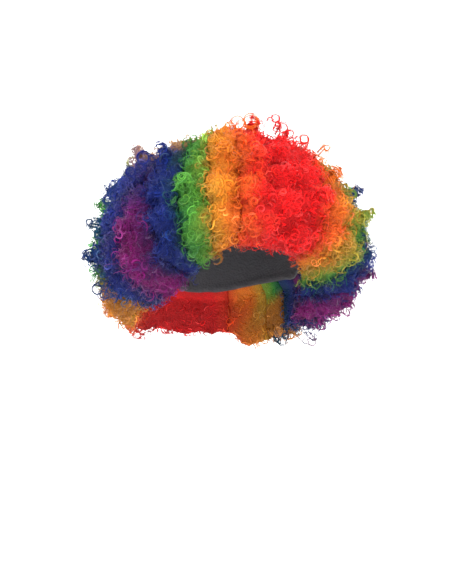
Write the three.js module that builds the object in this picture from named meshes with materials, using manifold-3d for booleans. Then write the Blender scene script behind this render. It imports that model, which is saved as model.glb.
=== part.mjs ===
// A curly rainbow clown wig: a stretch cap with a folded hem, and the curly hair that is sewn to it in
// bands of colour that spread from a whorl behind the crown. Millimetres, +Z up, the wearer faces -Y and
// the wearer's left is +X. The origin is the crown of the cap's inner surface, where the top of a head
// touches it.

import * as THREE from 'three';
import { mergeVertices } from 'three/addons/utils/BufferGeometryUtils.js';
import Module from 'manifold-3d';

const wasm = await Module();
wasm.setup();

// The head that the cap fits
const HEAD_WIDTH = 156;
const HEAD_LENGTH = 196;
const CROWN_HEIGHT = 92; // from the head's widest level up to its crown

// The cap
const CAP_WALL = 2;
const CAP_DEPTH = 162; // from the crown down to the hem at the nape
const HEM_THICKNESS = 3;
const HEM_HEIGHT = 9;
const NAPE_TAPER = 0.06; // share by which the head narrows from its widest level to the nape

// The packed hair: how deep it lies on the cap, and how far it would reach below the widest level
const HAIR_FLANK = 62;
const HAIR_FRONT = 47;
const HAIR_BACK = 62;
const HAIR_TOP = 41;
const HAIR_BELOW = 143;
const HAIR_HANG = 56; // how far the hair's inner side hangs past the hem
const BACK_SLOPE = 0.16; // share by which the hair behind the crown lies lower than a round form
const LEFT_FULLER = 0.03; // share by which the hair on the wearer's left stands out more, twice that on top
const LEFT_TUCK = 0.17; // share by which it draws in towards its lower edge
const SKIN_ROOM = 9; // room beside ears and neck, under the hem

// Tufts, the round clumps of curls that cover the packed hair
const TUFT_RADIUS = 22;
const TUFT_SPACING = 38;
const TUFT_RISE = 20; // how far a tuft stands out of the packed hair

// Ringlets, the single corkscrew curls that stand out of some tufts
const RINGLET_RADIUS = 6;
const RINGLET_THICKNESS = 5.5;
const RINGLET_PITCH = 8;
const RINGLET_TURNS = 1.35;
const RINGLET_ROOT = 12; // how deep its straight root reaches into the tuft
const RINGLET_EVERY = 5; // one tuft in this many carries a ringlet

// Clearances
const SEAT_GAP = 0.3; // between the cap and the hair that sits on it
const COLOUR_GAP = 0.35; // between neighbouring colours, in degrees round the whorl

// Steps of the faceted surfaces
const CAP_AROUND = 24;
const CAP_DOWN = 6;
const HAIR_DETAIL = 10;
const BORDER_STEPS = 9;
const RINGLET_SIDES = 5;
const RINGLET_STEPS = 9;

const CENTRE = new THREE.Vector3(0, 0, -CROWN_HEIGHT);
const FAR = 2 * (HEAD_LENGTH + HAIR_BACK + HAIR_BELOW); // past every part of the wig

// The lower edge from the front (azimuth 0) to the nape (180), at the same places on both sides.
// rim is the hem's drop as a share of CAP_DEPTH, hang a share of HAIR_HANG, edge the polar angle at which
// the hair ends, in degrees from straight up, and tuck the share of the hair's reach that is left there.
const EDGE = [
  { azimuth: 0, rim: 0.38, hang: 0.1, edge: 74, tuck: 0.76 },
  { azimuth: 25, rim: 0.39, hang: 0.15, edge: 76, tuck: 0.76 },
  { azimuth: 45, rim: 0.47, hang: 0.6, edge: 90, tuck: 0.78 },
  { azimuth: 58, rim: 0.57, hang: 1, edge: 112, tuck: 0.8 },
  { azimuth: 70, rim: 0.65, hang: 1, edge: 125, tuck: 0.82 },
  { azimuth: 90, rim: 0.68, hang: 1, edge: 130, tuck: 0.86 },
  { azimuth: 120, rim: 0.8, hang: 0.8, edge: 141, tuck: 0.92 },
  { azimuth: 150, rim: 0.94, hang: 0.7, edge: 146, tuck: 0.94 },
  { azimuth: 180, rim: 1, hang: 0.6, edge: 147, tuck: 0.94 },
];
const OUTER_SIDE = 132; // degrees of the hair's round form, from its top, that are its outer side
const EDGE_ROUNDING = 30; // degrees over which the hair rounds down to its edge
const EDGE_CLUMPS = 20; // clumps in a full turn of the edge
const EDGE_SCALLOP = 2.5; // degrees by which each clump hangs lower or stops higher

// The whorl: its axis leans back from the crown, and a disc of red hair lies round it
const WHORL_LEAN = 35;
const WHORL_DISC = 14;

// Where each colour ends, in degrees round the whorl from the front, the same on both sides but for
// LEFT_SWEEP: at the disc, a third and two thirds of the way down, and at LOWEST, which is below all hair.
const LOWEST = 140;
const BORDERS = {
  red: { top: 21, upper: 21, lower: 22, low: 20 },
  orange: { top: 37, upper: 37, lower: 35, low: 37 },
  green: { top: 49, upper: 49, lower: 49, low: 52 },
  blue: { top: 66, upper: 66, lower: 63, low: 61 },
  purple: { top: 66, upper: 69, lower: 84, low: 93 },
  blueRear: { top: 106, upper: 111, lower: 112, low: 112 },
  greenRear: { top: 130, upper: 130, lower: 130, low: 130 },
  orangeRear: { top: 153, upper: 154, lower: 155, low: 155 },
};
const BORDER_SWAY = 1.2; // degrees that a border sways from clump to clump
const LEFT_SWEEP = 9; // degrees by which the front colours on the wearer's left reach further back on top
const PURPLE_TOP = 42; // degrees below the whorl at which the purple patch begins
const RING_END = 42; // degrees below the whorl to which the rear orange also covers the blue and rear green
const RING_JOIN = 1; // degrees by which the parts of that cover reach into each other

// The colours on each side, from the front to the rear, each from the border before it to its own, and
// from its start, in degrees below the whorl, down to the hair's edge
const BANDS = [
  { name: 'hair_orange', colour: 'orange', from: 'red', to: 'orange', start: WHORL_DISC },
  { name: 'hair_green', colour: 'green', from: 'orange', to: 'green', start: WHORL_DISC },
  { name: 'hair_blue', colour: 'blue', from: 'green', to: 'blue', start: RING_END },
  { name: 'hair_purple', colour: 'purple', from: 'blue', to: 'purple', start: PURPLE_TOP },
  { name: 'hair_blue_rear', colour: 'blue', from: 'purple', to: 'blueRear', start: RING_END },
  { name: 'hair_green_rear', colour: 'green', from: 'blueRear', to: 'greenRear', start: RING_END },
  { name: 'hair_orange_rear', colour: 'orange', from: 'greenRear', to: 'orangeRear', start: WHORL_DISC },
];

const COLOURS = {
  red: 0xdf1f26,
  orange: 0xe8862a,
  green: 0x6fb53a,
  blue: 0x24439b,
  purple: 0x7a2a86,
  cap: 0x2b2a2e,
};
const HAIR_ROUGHNESS = 0.6;
const CAP_ROUGHNESS = 0.85;

const radians = THREE.MathUtils.degToRad;
const degrees = THREE.MathUtils.radToDeg;

// A fixed share from 0 to 1 that differs for each pair of numbers
function scatter(a, b) {
  const wave = Math.sin(a * 127.1 + b * 311.7) * 4375.85;
  return wave - Math.floor(wave);
}

// One column of EDGE at an azimuth, eased from row to row
function edgeAt(azimuth, column) {
  const at = Math.min(180, Math.abs(azimuth));
  const next = Math.max(1, EDGE.findIndex((row) => row.azimuth >= at));
  const [low, high] = [EDGE[next - 1], EDGE[next]];
  const share = THREE.MathUtils.smoothstep(at, low.azimuth, high.azimuth);
  return THREE.MathUtils.lerp(low[column], high[column], share);
}

// The turn round the whorl at which a border lies, some degrees below the whorl. Above the purple patch
// the blue before it and the blue behind it meet.
function borderAt(name, below) {
  const border = name === 'purple' && below < PURPLE_TOP ? BORDERS.blue : BORDERS[name];
  const places = [border.top, border.upper, border.lower, border.low];
  const down = THREE.MathUtils.clamp((below - WHORL_DISC) / (LOWEST - WHORL_DISC), 0, 1);
  const way = down * (places.length - 1);
  const step = Math.min(places.length - 2, Math.floor(way));
  return THREE.MathUtils.lerp(places[step], places[step + 1], way - step);
}

// Directions: azimuth from the front towards the wearer's left, polar from straight up
function fromAzimuth(azimuth, polar) {
  const [a, p] = [radians(azimuth), radians(polar)];
  return new THREE.Vector3(Math.sin(a) * Math.sin(p), -Math.cos(a) * Math.sin(p), Math.cos(p));
}

// Directions: a turn round the whorl from the front towards the wearer's left, and degrees below the whorl
function fromWhorl(turned, below) {
  const upright = fromAzimuth(turned, below);
  return upright.applyAxisAngle(new THREE.Vector3(1, 0, 0), -radians(WHORL_LEAN));
}

// The polar angle at which the hair ends, with a scallop for each clump along the edge
function hairEdge(azimuth) {
  return edgeAt(azimuth, 'edge') + EDGE_SCALLOP * Math.cos(radians(azimuth * EDGE_CLUMPS));
}

function azimuthOf(direction) {
  return degrees(Math.atan2(direction.x, -direction.y));
}

function polarOf(direction) {
  return degrees(Math.acos(THREE.MathUtils.clamp(direction.z, -1, 1)));
}

// The head's form grown by some thickness, at an azimuth and a drop below its crown
function headPoint(azimuth, drop, grow) {
  const height = CROWN_HEIGHT - drop;
  const above = Math.max(0, height) / CROWN_HEIGHT;
  const below = Math.max(0, -height) / (CAP_DEPTH - CROWN_HEIGHT);
  const full = Math.sqrt(1 - above * above) - NAPE_TAPER * below * below;
  const a = radians(azimuth);
  const half = { x: HEAD_WIDTH / 2, y: HEAD_LENGTH / 2 };
  const point = new THREE.Vector3(Math.sin(a) * full * half.x, -Math.cos(a) * full * half.y, height);
  const normal = new THREE.Vector3(point.x / half.x ** 2, point.y / half.y ** 2, above / CROWN_HEIGHT);
  return point.addScaledVector(normal.normalize(), grow).add(CENTRE);
}

// How far below the crown a row of the cap lies, the rows even by arc from the crown to the hem
function rowDrop(azimuth, row) {
  const rim = edgeAt(azimuth, 'rim') * CAP_DEPTH;
  const upper = Math.min(rim, CROWN_HEIGHT);
  const arc = Math.acos(1 - upper / CROWN_HEIGHT) * CROWN_HEIGHT;
  const length = (arc + rim - upper) * row;
  return length < arc ? CROWN_HEIGHT * (1 - Math.cos(length / CROWN_HEIGHT)) : upper + length - arc;
}

// A closed three.js geometry as a solid that can be joined and cut
function toSolid(geometry, matrix = new THREE.Matrix4()) {
  const bare = new THREE.BufferGeometry();
  bare.setAttribute('position', geometry.getAttribute('position').clone());
  bare.setIndex(geometry.getIndex());
  const merged = mergeVertices(bare.applyMatrix4(matrix), 1e-3);
  const vertProperties = merged.getAttribute('position').array;
  const triVerts = new Uint32Array(merged.getIndex().array);
  return new wasm.Manifold(new wasm.Mesh({ numProp: 3, vertProperties, triVerts }));
}

function toGeometry(solid) {
  const mesh = solid.getMesh();
  const geometry = new THREE.BufferGeometry();
  geometry.setAttribute('position', new THREE.BufferAttribute(mesh.vertProperties, 3));
  geometry.setIndex(new THREE.BufferAttribute(mesh.triVerts, 1));
  geometry.computeVertexNormals();
  return geometry;
}

// A closed solid over rings of points, from one end point to the other
function ringSolid(first, rings, last) {
  const count = rings[0].length;
  const points = [first, ...rings.flat(), last];
  const faces = [];
  const at = (ring, step) => 1 + ring * count + (step % count);
  for (let step = 0; step < count; step += 1) {
    faces.push(0, at(0, step), at(0, step + 1));
    for (let ring = 0; ring + 1 < rings.length; ring += 1) {
      faces.push(at(ring, step), at(ring + 1, step), at(ring + 1, step + 1));
      faces.push(at(ring, step), at(ring + 1, step + 1), at(ring, step + 1));
    }
    faces.push(at(rings.length - 1, step), points.length - 1, at(rings.length - 1, step + 1));
  }
  const geometry = new THREE.BufferGeometry().setFromPoints(points);
  geometry.setIndex(faces);
  return toSolid(geometry);
}

// Azimuths once round, from the front over the wearer's left
function turn(steps) {
  return Array.from({ length: steps }, (_, step) => {
    const azimuth = (step * 360) / steps;
    return azimuth > 180 ? azimuth - 360 : azimuth;
  });
}

function capRings(grow) {
  const rows = Array.from({ length: CAP_DOWN }, (_, row) => (row + 1) / CAP_DOWN);
  const ring = (row) => turn(CAP_AROUND).map((azimuth) => headPoint(azimuth, rowDrop(azimuth, row), grow));
  return rows.map((row) => ring(row));
}

function hemRing(above, grow) {
  return turn(CAP_AROUND).map((azimuth) => headPoint(azimuth, rowDrop(azimuth, 1) - above, grow));
}

// The cap: one wall from the crown to the hem, where it is folded thicker towards the head
function buildCap() {
  const outer = capRings(CAP_WALL);
  const upperInner = capRings(0).slice(0, CAP_DOWN - 1);
  const fold = CAP_WALL - HEM_THICKNESS;
  const inner = [...upperInner, hemRing(HEM_HEIGHT, 0), hemRing(HEM_HEIGHT, fold), hemRing(0, fold)];
  const outerCrown = new THREE.Vector3(0, 0, CAP_WALL);
  return ringSolid(outerCrown, [...outer, ...inner.reverse()], new THREE.Vector3());
}

// The room that the hair leaves for the cap and, under its hem, for ears and neck
function buildRoom() {
  const grow = CAP_WALL + SEAT_GAP;
  const under = hemRing(0, grow + SKIN_ROOM).map((point) => point.setZ(point.z - SKIN_ROOM));
  const bottom = under.map((point) => point.clone().setZ(-FAR));
  const rings = [...capRings(grow), under, bottom];
  return ringSolid(new THREE.Vector3(0, 0, grow), rings, new THREE.Vector3(0, 0, -FAR));
}

// How far the packed hair reaches from the wig's centre in a direction
function hairReach(direction) {
  const side = HEAD_WIDTH / 2 + CAP_WALL + HAIR_FLANK;
  const deep = HEAD_LENGTH / 2 + CAP_WALL + (direction.y < 0 ? HAIR_FRONT : HAIR_BACK);
  const high = direction.z > 0 ? CROWN_HEIGHT + CAP_WALL + HAIR_TOP : HAIR_BELOW;
  const round = 1 / Math.hypot(direction.x / side, direction.y / deep, direction.z / high);
  const slope = 1 - BACK_SLOPE * Math.max(0, direction.y) * Math.max(0, direction.z);
  const beside = Math.max(0, direction.x);
  const under = Math.max(0, -direction.z);
  const leaning = 1 + beside * (LEFT_FULLER * (1 + direction.z) - LEFT_TUCK * under);
  const azimuth = azimuthOf(direction);
  const inside = (edgeAt(azimuth, 'edge') - polarOf(direction)) / EDGE_ROUNDING;
  const tucked = 1 - THREE.MathUtils.clamp(inside, 0, 1);
  const tuck = edgeAt(azimuth, 'tuck');
  return round * slope * leaning * (tuck + (1 - tuck) * Math.sqrt(1 - tucked * tucked));
}

function hairPoint(direction, lift) {
  return CENTRE.clone().addScaledVector(direction, hairReach(direction) + lift);
}

// How far the tufts stand out of the packed hair in a direction: each is a round dome
function tuftLift(direction, tufts) {
  const reach = hairReach(direction);
  const lifts = tufts.map((tuft) => {
    const away = (direction.angleTo(tuft.direction) * reach) / tuft.radius;
    return tuft.rise * Math.sqrt(Math.max(0, 1 - away * away));
  });
  return Math.max(...lifts);
}

// All hair in one: an even round form, whose upper part spreads down to the hair's edge with its tufts, and
// whose lower part folds in under the hem
function buildHair(tufts) {
  const form = mergeVertices(bareCopy(new THREE.IcosahedronGeometry(1, HAIR_DETAIL)), 1e-4);
  const places = form.getAttribute('position');
  for (let index = 0; index < places.count; index += 1) {
    const place = new THREE.Vector3().fromBufferAttribute(places, index).normalize();
    const azimuth = azimuthOf(place);
    const spread = Math.min(1, polarOf(place) / OUTER_SIDE);
    const direction = fromAzimuth(azimuth, spread * hairEdge(azimuth));
    const point = hairPoint(direction, tuftLift(direction, tufts));
    const folded = Math.max(0, polarOf(place) - OUTER_SIDE) / (180 - OUTER_SIDE);
    const drop = edgeAt(azimuth, 'rim') * CAP_DEPTH + edgeAt(azimuth, 'hang') * HAIR_HANG;
    const inner = headPoint(azimuth, drop, -HEM_THICKNESS);
    point.lerp(inner, Math.min(1, folded * 2)).lerp(CENTRE, Math.max(0, folded * 2 - 1));
    places.setXYZ(index, point.x, point.y, point.z);
  }
  return toSolid(form);
}

// A geometry's points alone, without its normals and texture places
function bareCopy(geometry) {
  return new THREE.BufferGeometry().setAttribute('position', geometry.getAttribute('position'));
}

// A ringlet's own line: straight out of its tuft, then round and round
class Corkscrew extends THREE.Curve {
  getPoint(share, target = new THREE.Vector3()) {
    const rise = RINGLET_ROOT + RINGLET_PITCH * RINGLET_TURNS;
    const height = share * rise - RINGLET_ROOT;
    const swing = Math.max(0, height / RINGLET_PITCH) * 2 * Math.PI;
    const opened = THREE.MathUtils.smoothstep(height, -RINGLET_ROOT, RINGLET_PITCH / 3);
    const radius = RINGLET_RADIUS * opened;
    return target.set(radius * Math.cos(swing), radius * Math.sin(swing), height);
  }
}

function buildRinglet({ direction, rise, order }) {
  const ring = new THREE.EllipseCurve(0, 0, RINGLET_THICKNESS / 2, RINGLET_THICKNESS / 2);
  const section = new THREE.Shape(ring.getPoints(RINGLET_SIDES).slice(0, RINGLET_SIDES));
  const form = new THREE.ExtrudeGeometry(section, { steps: RINGLET_STEPS, extrudePath: new Corkscrew() });
  const up = new THREE.Vector3(0, 0, 1);
  const spin = new THREE.Quaternion().setFromAxisAngle(up, 2 * Math.PI * scatter(order, 7));
  const stand = new THREE.Quaternion().setFromUnitVectors(up, direction);
  const place = new THREE.Matrix4().compose(
    hairPoint(direction, rise),
    stand.multiply(spin),
    new THREE.Vector3(1, 1, 1),
  );
  return toSolid(mergeVertices(bareCopy(form), 1e-3), place);
}

// The degrees below the whorl at which the borders have their corners
function borderSteps() {
  const span = LOWEST - WHORL_DISC;
  return Array.from({ length: BORDER_STEPS + 1 }, (_, step) => WHORL_DISC + (span * step) / BORDER_STEPS);
}

// A slice of all hair between two borders, with its corners at some steps below the whorl
function buildWedge(fromTurn, toTurn, steps) {
  const near = steps.map((below) => fromWhorl(fromTurn(below) + COLOUR_GAP / 2, below));
  const far = steps.map((below) => fromWhorl(toTurn(below) - COLOUR_GAP / 2, below));
  const points = [...near, ...far].map((direction) => direction.multiplyScalar(FAR).add(CENTRE));
  const centre = points.length;
  const across = steps.length;
  const faces = [centre, 0, across, centre, centre - 1, across - 1];
  for (let step = 0; step + 1 < steps.length; step += 1) {
    faces.push(step, step + 1, across + step + 1);
    faces.push(step, across + step + 1, across + step);
    faces.push(centre, step + 1, step);
    faces.push(centre, across + step, across + step + 1);
  }
  const geometry = new THREE.BufferGeometry().setFromPoints([...points, CENTRE]);
  geometry.setIndex(faces);
  return toSolid(geometry);
}

// The hair round the whorl itself, out to the corners where the bands begin
function buildDisc() {
  const names = Object.keys(BORDERS).filter((name) => name !== 'purple');
  const left = names.map((name) => borderTurn(name, 1)(WHORL_DISC));
  const right = names.map((name) => 360 + borderTurn(name, -1)(WHORL_DISC));
  const turns = [...left, ...right.reverse()];
  const corners = turns.map((turned) => fromWhorl(turned, WHORL_DISC - COLOUR_GAP));
  const ring = corners.map((direction) => direction.multiplyScalar(FAR).add(CENTRE));
  const top = fromWhorl(0, 0).multiplyScalar(FAR).add(CENTRE);
  return ringSolid(top, [ring], CENTRE.clone());
}

// The part of the rear orange that lies beside the whorl, above the blue and the rear green. Its three parts
// reach a little into each other and into the rear orange's own slice, so that all are one.
function buildRing(side) {
  const steps = [...borderSteps().filter((below) => below < RING_END), RING_END - COLOUR_GAP];
  const spans = [['green', 'blue'], ['blue', 'blueRear'], ['blueRear', 'greenRear']];
  const parts = spans.map(([from, to]) => {
    const ends = [borderTurn(from, side), (below) => borderTurn(to, side)(below) + side * RING_JOIN];
    const [fromTurn, toTurn] = side < 0 ? ends.reverse() : ends;
    return buildWedge(fromTurn, toTurn, steps);
  });
  return parts.reduce((whole, part) => whole.add(part));
}

// A border's turn on one side, swaying from clump to clump
function borderTurn(name, side) {
  const clump = degrees(TUFT_SPACING / (HEAD_WIDTH / 2 + HAIR_FLANK));
  return (below) => {
    const turned = borderAt(name, below);
    const sway = BORDER_SWAY * Math.sin(((below - WHORL_DISC) / clump) * Math.PI);
    const onTop = side > 0 ? 1 - THREE.MathUtils.smoothstep(below, PURPLE_TOP, 2 * PURPLE_TOP) : 0;
    return side * (turned + sway + LEFT_SWEEP * onTop * Math.max(0, 1 - turned / BORDERS.blue.top));
  };
}

// The tufts of a slice, in rows down it, as many side by side as there is room for
function placeTufts(slice) {
  const { fromTurn, toTurn, start, seed } = slice;
  const rowStep = degrees(TUFT_SPACING / (HEAD_WIDTH / 2 + HAIR_FLANK));
  const tufts = [];
  for (let below = start + rowStep / 2; below < LOWEST; below += rowStep) {
    const middle = (fromTurn(below) + toTurn(below)) / 2;
    const reach = hairReach(fromWhorl(middle, below)) * Math.sin(radians(below));
    const room = radians(toTurn(below) - fromTurn(below)) * reach;
    const columns = Math.max(1, Math.round(room / TUFT_SPACING));
    const width = room / columns;
    const size = Math.min(1, Math.sqrt(width / TUFT_SPACING));
    for (let column = 0; column < columns; column += 1) {
      const turned = THREE.MathUtils.lerp(fromTurn(below), toTurn(below), (column + 0.5) / columns);
      const direction = fromWhorl(turned, below + (rowStep / 4) * (column % 2));
      if (polarOf(direction) > edgeAt(azimuthOf(direction), 'edge')) continue;
      const order = seed + tufts.length;
      const radius = TUFT_RADIUS * size * (0.9 + 0.2 * scatter(order, 1));
      const rise = TUFT_RISE * size * (0.75 + 0.5 * scatter(order, 2));
      tufts.push({ direction, radius, rise, order, width });
    }
  }
  return tufts;
}

// One colour: its slice of all hair, with a ringlet on some of the tufts that are wide enough to bear one
function buildColour(slice, hair, room) {
  const cut = buildWedge(slice.fromTurn, slice.toTurn, slice.steps);
  const whole = slice.more ? cut.add(slice.more) : cut;
  const wide = slice.tufts.filter((tuft) => tuft.width > 2 * (RINGLET_RADIUS + RINGLET_THICKNESS));
  const bearers = wide.filter((tuft, index) => index % RINGLET_EVERY === 1);
  const ringlets = bearers.map((tuft) => buildRinglet(tuft));
  const joined = ringlets.reduce((solid, ringlet) => solid.add(ringlet), hair);
  return joined.intersect(whole).subtract(room);
}

function material(colour, roughness) {
  return new THREE.MeshStandardMaterial({ color: COLOURS[colour], roughness, metalness: 0 });
}

function addNode(group, name, solid, finish) {
  const mesh = new THREE.Mesh(toGeometry(solid), finish);
  mesh.name = name;
  group.add(mesh);
}

// The slices of hair by colour, from the red front over both sides to the red rear
function listSlices() {
  const steps = borderSteps();
  const front = {
    name: 'hair_red_front',
    colour: 'red',
    fromTurn: borderTurn('red', -1),
    toTurn: borderTurn('red', 1),
    start: 0,
    steps: [WHORL_DISC / 2, ...steps],
    more: buildDisc(),
    seed: 100,
  };
  const sides = BANDS.flatMap((band, index) => [-1, 1].map((side) => {
    const ends = [borderTurn(band.from, side), borderTurn(band.to, side)];
    const [fromTurn, toTurn] = side < 0 ? ends.reverse() : ends;
    const more = band.name === 'hair_orange_rear' ? buildRing(side) : null;
    return {
      name: `${band.name}_${side < 0 ? 'right' : 'left'}`,
      colour: band.colour,
      fromTurn,
      toTurn,
      start: band.start,
      steps: steps.filter((below) => below >= band.start),
      more,
      seed: 1000 * (index + 1) + 50 * (side + 1),
    };
  }));
  const rear = {
    name: 'hair_red_rear',
    colour: 'red',
    fromTurn: borderTurn('orangeRear', 1),
    toTurn: (below) => 360 + borderTurn('orangeRear', -1)(below),
    start: WHORL_DISC,
    steps,
    seed: 9000,
  };
  return [front, ...sides, rear];
}

function buildWig() {
  const group = new THREE.Group();
  group.name = 'clown_wig';
  addNode(group, 'cap', buildCap(), material('cap', CAP_ROUGHNESS));
  const slices = listSlices().map((slice) => ({ ...slice, tufts: placeTufts(slice) }));
  const hair = buildHair(slices.flatMap((slice) => slice.tufts));
  const room = buildRoom();
  for (const slice of slices) {
    addNode(group, slice.name, buildColour(slice, hair, room), material(slice.colour, HAIR_ROUGHNESS));
  }
  return group;
}

export default buildWig();
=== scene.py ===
# The looks of a curly rainbow clown wig: for each colour an undercoat of packed hair, ringlets of fine
# strands and loose flyaway curls, and the cloth of the cap. Metres, in the frame of the CAD part.

import math

import bpy
import numpy as np
from mathutils import Matrix, Vector


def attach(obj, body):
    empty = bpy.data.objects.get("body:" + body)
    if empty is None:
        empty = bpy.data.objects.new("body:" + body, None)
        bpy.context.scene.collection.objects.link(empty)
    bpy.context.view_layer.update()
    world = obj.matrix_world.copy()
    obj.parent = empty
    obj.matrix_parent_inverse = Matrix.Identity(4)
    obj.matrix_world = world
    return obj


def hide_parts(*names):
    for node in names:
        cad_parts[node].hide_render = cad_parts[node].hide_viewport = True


MM = 0.001

# The wig's own middle, the whorl's axis and the directions square to it
CENTRE = np.array([0.0, 0.0, -92.0]) * MM
WHORL_LEAN = math.radians(35)
AXIS = np.array([0.0, math.sin(WHORL_LEAN), math.cos(WHORL_LEAN)])
FRONT = np.array([0.0, -math.cos(WHORL_LEAN), math.sin(WHORL_LEAN)])
LEFT = np.array([1.0, 0.0, 0.0])

# Half the cap's outer width and length, and its height over its widest level
CAP_HALF = np.array([80.3, 100.3, 94.3]) * MM

# Where each colour ends, in degrees round the whorl, at four places in degrees below it
BORDER_PLACES = (14, 56, 98, 140)
BORDERS = {
    "red": (21, 21, 22, 20),
    "orange": (37, 37, 35, 37),
    "green": (49, 49, 49, 52),
    "blue": (66, 66, 63, 61),
    "purple": (66, 69, 84, 93),
    "blue_rear": (106, 111, 112, 112),
    "green_rear": (130, 130, 130, 130),
    "orange_rear": (153, 154, 155, 155),
}

# On the wearer's left the front colours reach so many degrees further back on top, less and less below the whorl,
# and no more at twice SWEEP_WHOLE degrees below it
LEFT_SWEEP = 9
SWEEP_WHOLE = 42

# The narrowest that a band counts as, in degrees, and the disc round the whorl, which has one shade of its band
NARROWEST = 4
DISC, DISC_SHADE = 16, 0.3

# For each band its material slot, the colours that end at its front and rear borders, and the fibre's screen
# colours from the front border (0) to the rear one (1)
BANDS = {
    "hair_red_front": ("red_hair", None, "red",
                       [(0, "da0d12"), (0.35, "dc1315"), (0.65, "df3018"), (1, "e0581b")]),
    "hair_orange": ("orange_hair", "red", "orange",
                    [(0, "de5f19"), (0.3, "dc6e19"), (0.7, "d6821e"), (1, "c0862a")]),
    "hair_green": ("green_hair", "orange", "green",
                   [(0, "8e7e28"), (0.14, "6a922c"), (0.5, "4e8e30"), (0.88, "3a7e34"), (1, "0c4230")]),
    "hair_blue": ("blue_hair", "green", "blue", [(0, "0a3440"), (0.3, "082068"), (1, "101b64")]),
    "hair_purple": ("purple_hair", "blue", "purple",
                    [(0, "1e1450"), (0.2, "5e0a58"), (0.65, "7e0a64"), (1, "241a58")]),
    "hair_blue_rear": ("blue_hair", "purple", "blue_rear", [(0, "1c1a62"), (0.5, "0e2470"), (1, "0a3c52")]),
    "hair_green_rear": ("green_hair", "blue_rear", "green_rear", [(0, "145c38"), (0.5, "36862e"), (1, "82902a")]),
    "hair_orange_rear": ("orange_hair", "green_rear", "orange_rear",
                         [(-1, "bc8a46"), (-0.3, "bf8a34"), (0, "c08c28"), (0.5, "d46c1c"), (1, "d8461a")]),
    "hair_red_rear": ("red_hair", "orange_rear", None, [(0, "d23417"), (0.3, "c81416"), (1, "c21216")]),
}

# On the wearer's left the red reaches its border and the orange runs on into gold and olive
LEFT_BANDS = {
    "hair_red_front": [(0, "da0d12"), (0.7, "dc1315"), (1, "df3f19")],
    "hair_orange": [(0, "de4a1a"), (0.35, "dc611b"), (0.75, "cc7a22"), (1, "b8842c")],
    "hair_green": [(0, "b0842a"), (0.4, "8f8a2c"), (0.75, "4c8430"), (1, "165638")],
}

# Beside the whorl the rear orange is pale, and the colours below it are pale down to some degrees below the
# whorl, fewer at these turns towards the rear
PALE = "bc8a46"
PALE_TURNS = (85, 115)
PALE_TO = (60, 44)
PALE_FADE = 11
PALE_SHARE = 0.85

# Towards the rear the pale orange takes on the colours below it, which lie at these turns, from and to these
# degrees below the whorl
RING_BELOW = [(85, PALE), (106, "0a3c52"), (118, "36862e"), (130, "82902a")]
RING_FROM, RING_TO = 32, 44
RING_SHARE = 0.7

# The purple is darker towards its top, from and to these degrees below the whorl
PURPLE_DARK = "1e1a5a"
DARK_FROM, DARK_TO = 76, 100
DARK_SHARE = 0.85

# Painted shade: all hair is darker by a share towards its lower edge, where it lies in shadow, from and to
# these degrees below the whorl
LOW_PAINTED_SHADE = 0.25
PAINTED_SHADE_FROM, PAINTED_SHADE_TO = 85, 110

# The rear green turns to gold towards the nape, from and to these degrees below the whorl
NAPE_GOLD = "b87222"
NAPE_FROM, NAPE_TO = 98, 108

# Ringlets: how far apart they grow, strands in each, points along a strand and half a strand's thickness
RINGLET_SPACING = 9.9 * MM
RINGLET_STRANDS = 2
RINGLET_POINTS = 16
STRAND = 0.4 * MM

# Frizz, the single loose strands between the ringlets, and how many of each band's stand out of the hair
FRIZZ_SPACING = 9.3 * MM
FRIZZ_POINTS = 12
FRIZZ = 0.24 * MM
FLYAWAYS = 30

INNER_SPACING = 8.2 * MM

# Which faces grow hair: how squarely they face out of the wig or towards the neck, and for the lower edge how
# squarely they face down, how many degrees below the whorl they are and how far outside the cap
FACING = 0.3
EDGE_FACING, EDGE_BELOW, EDGE_SEAT = 0.65, 95, 1.3

# How far outside the cap the faces towards the neck have to be, at two heights in mm
CLEAR_HEIGHTS, CLEAR_SEATS = (-162, -110), (1, 1.14)

# Places tried for each that grows hair, and how near two may lie as a share of the spacing
TRIES = 8
CLOSEST = 0.8

# The forms of ringlets on the outside and towards the neck, of frizz and of flyaways: the ranges of radius, turns
# and pitch, the depths of lying and standing ones, and the share that lies
OUTER_COILS = (3.0 * MM, 6.2 * MM), (1.3, 2.1), (3 * MM, 6.5 * MM), (2.5 * MM, 8 * MM), 0.6
INNER_COILS = (3.2 * MM, 5.2 * MM), (1.2, 1.9), (3 * MM, 6 * MM), (-0.5 * MM, 1 * MM), 0.85
FRIZZ_COILS = (2.2 * MM, 5.0 * MM), (0.9, 1.5), (4 * MM, 9 * MM), (0 * MM, 6 * MM), 0.7
FLYAWAY_COILS = (4.5 * MM, 9 * MM), (0.7, 1.2), (5 * MM, 12 * MM), (-4 * MM, 1 * MM), 0.5

# How far a strand droops and wavers, and how far apart the strands of a ringlet lie in half thicknesses
DROOP = 5 * MM
WAVER = 0.35 * MM
STRANDS_APART = 2.2

# How deep the undercoat lies below the hair's outer form, and how far its other sides close up on each other
SUNKEN = 5.5 * MM
GROWN = 1.3 * MM

# The undercoat's grid, and the size of its lumps
COAT_GRID = 3.6 * MM
COAT_LUMPS = 12 * MM

# Clumps of hair that share a shade: their size, and how much that moves the colour along the band
CLUMPS = 34 * MM
CLUMP_SHIFT = 0.35

# Painted shade and light: how bright strands and the undercoat are painted in the valleys, and how much more on
# the tops; the undercoat, lying deeper, is painted darker
STRAND_PAINTED_LIGHT = 0.66, 0.4
COAT_PAINTED_LIGHT = 0.62, 0.18

# Painted shade: how much of its colour a strand has at its root, down in the hair
ROOT_PAINTED_SHADE = 0.6

# Tops and valleys of the painted shade and light: how far around a place its height is compared, how far below
# the rest the darkest lie, and how much further up the lightest are
RELIEF_AROUND = 26 * MM
VALLEY = 7 * MM
TOP_OVER_VALLEY = 13 * MM

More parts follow.
